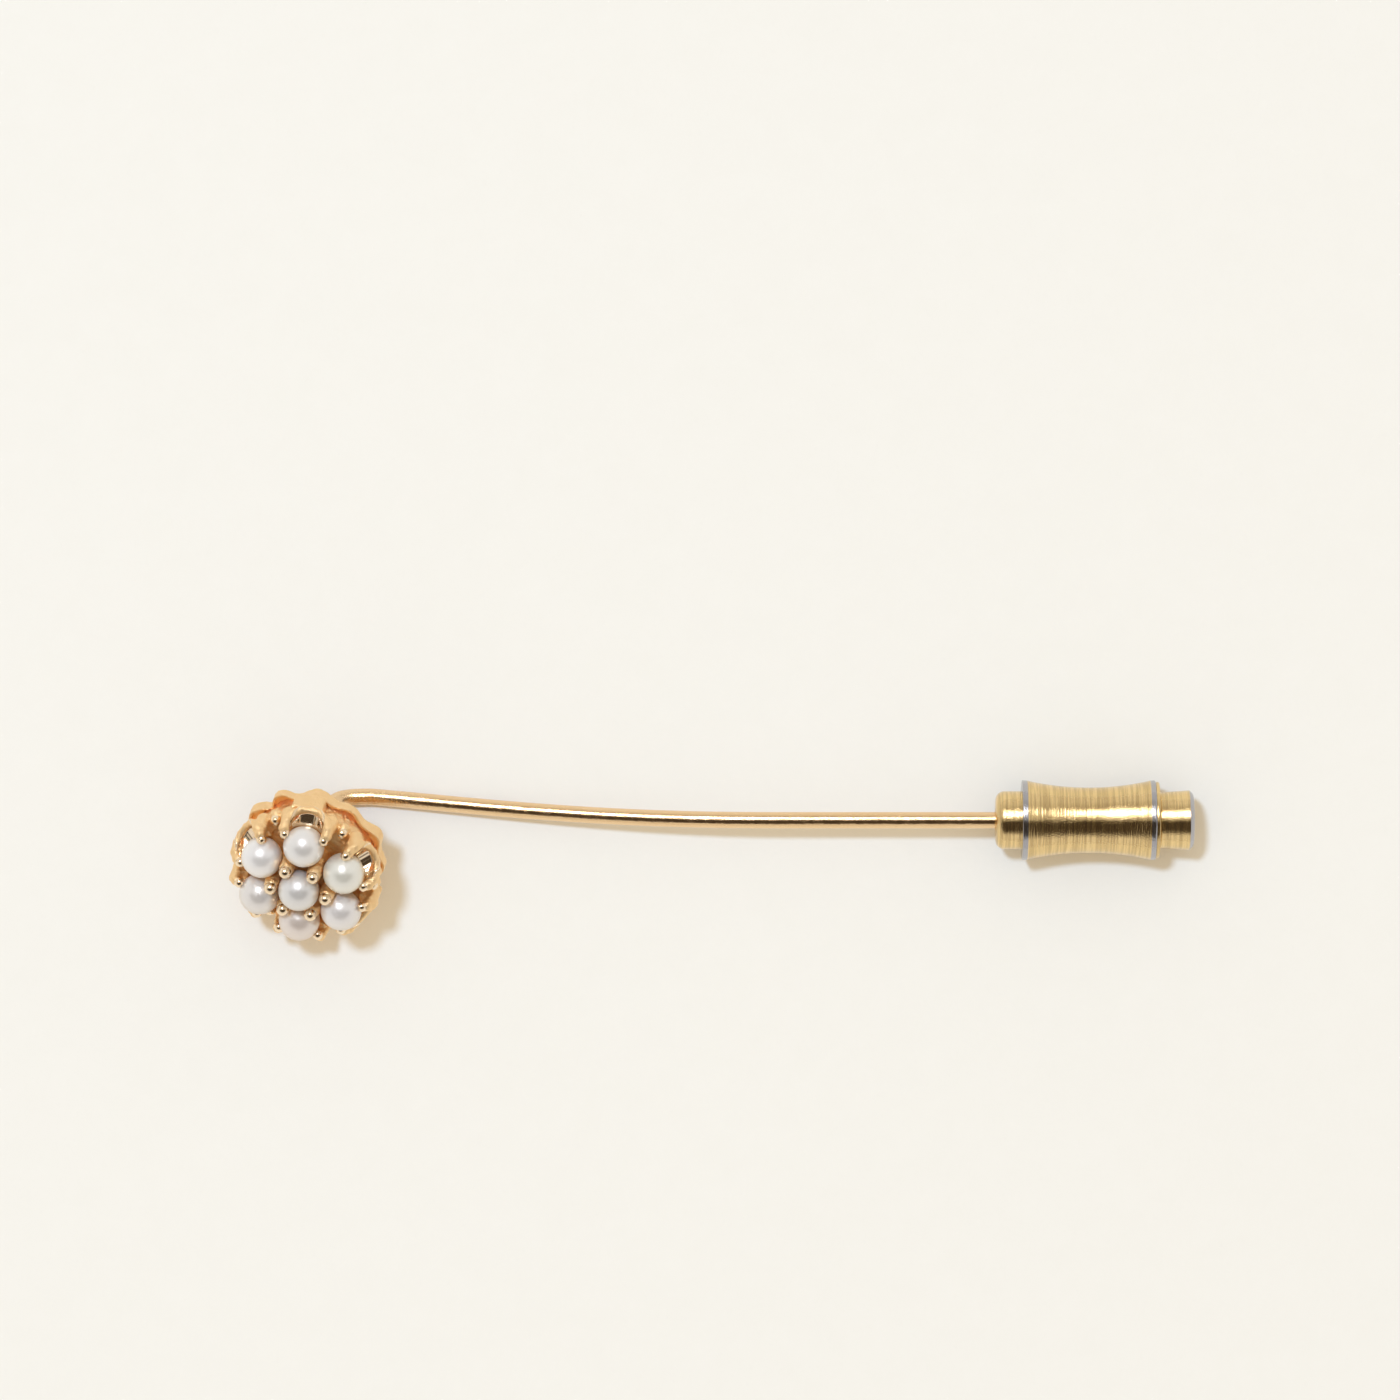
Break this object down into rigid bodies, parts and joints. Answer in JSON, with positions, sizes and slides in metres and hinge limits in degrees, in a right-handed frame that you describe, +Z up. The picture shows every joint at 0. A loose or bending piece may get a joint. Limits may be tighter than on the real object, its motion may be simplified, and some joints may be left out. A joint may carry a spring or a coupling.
{
  "type": "hat pin",
  "caption": "Hat pin: a prong-set pearl cluster on a bent gold wire, with an hourglass ball-lock pull clutch on its point.",
  "frame": {"origin": "on the axis of the straight shank, in its bare run between the bend and the clutch", "axes": "+X along the shank towards the point, +Z up, away from the table that the pin lies on"},
  "size_m": [0.0583, 0.0098, 0.0088],
  "materials": {
    "head_gold": "satin",
    "wire_gold": "polished",
    "clutch_gilt": "satin",
    "brass": "satin",
    "pearl": "gloss",
    "steel": "polished"
  },
  "bodies": {
    "pin": {"crown": "head_gold", "gallery_rail": "head_gold", "back_bar": "head_gold", "pearl_centre": "pearl", "pearl_1": "pearl", "pearl_2": "pearl", "pearl_3": "pearl", "pearl_4": "pearl", "pearl_5": "pearl", "pearl_6": "pearl", "pin_wire": "wire_gold"},
    "clutch": {"clutch_housing": "clutch_gilt", "grip_sleeve": "clutch_gilt", "rear_cap": "clutch_gilt"},
    "spring": {"clutch_spring": "steel"},
    "plunger": {"ball_cage": "brass", "pull_knob": "clutch_gilt"},
    "ball_1": {"lock_ball_1": "steel"},
    "ball_2": {"lock_ball_2": "steel"},
    "ball_3": {"lock_ball_3": "steel"}
  },
  "joints": [
    {"name": "clutch_slide", "type": "slide", "parent": "pin", "child": "clutch", "axis": [1, 0, 0], "range_m": [0, 0.016]},
    {"name": "knob_pull", "type": "slide", "parent": "clutch", "child": "spring", "axis": [1, 0, 0], "range_m": [0, 0.0008], "stiffness_N_per_m": 107, "springref_m": -0.002, "deforming": ["clutch_spring"]},
    {"name": "knob_spin", "type": "hinge", "parent": "spring", "child": "plunger", "pos_m": [0.0192, 0, 0], "axis": [1, 0, 0], "continuous": true},
    {"name": "ball_1_release", "type": "slide", "parent": "plunger", "child": "ball_1", "axis": [0, 0, 1], "range_m": [0, 0.00022]},
    {"name": "ball_2_release", "type": "slide", "parent": "plunger", "child": "ball_2", "axis": [0, -0.866, -0.5], "range_m": [0, 0.00022]},
    {"name": "ball_3_release", "type": "slide", "parent": "plunger", "child": "ball_3", "axis": [0, 0.866, -0.5], "range_m": [0, 0.00022]}
  ],
  "couplings": [
    {"joint": "ball_1_release", "follows": "knob_pull", "ratio": 0.26795},
    {"joint": "ball_2_release", "follows": "knob_pull", "ratio": 0.26795},
    {"joint": "ball_3_release", "follows": "knob_pull", "ratio": 0.26795}
  ]
}
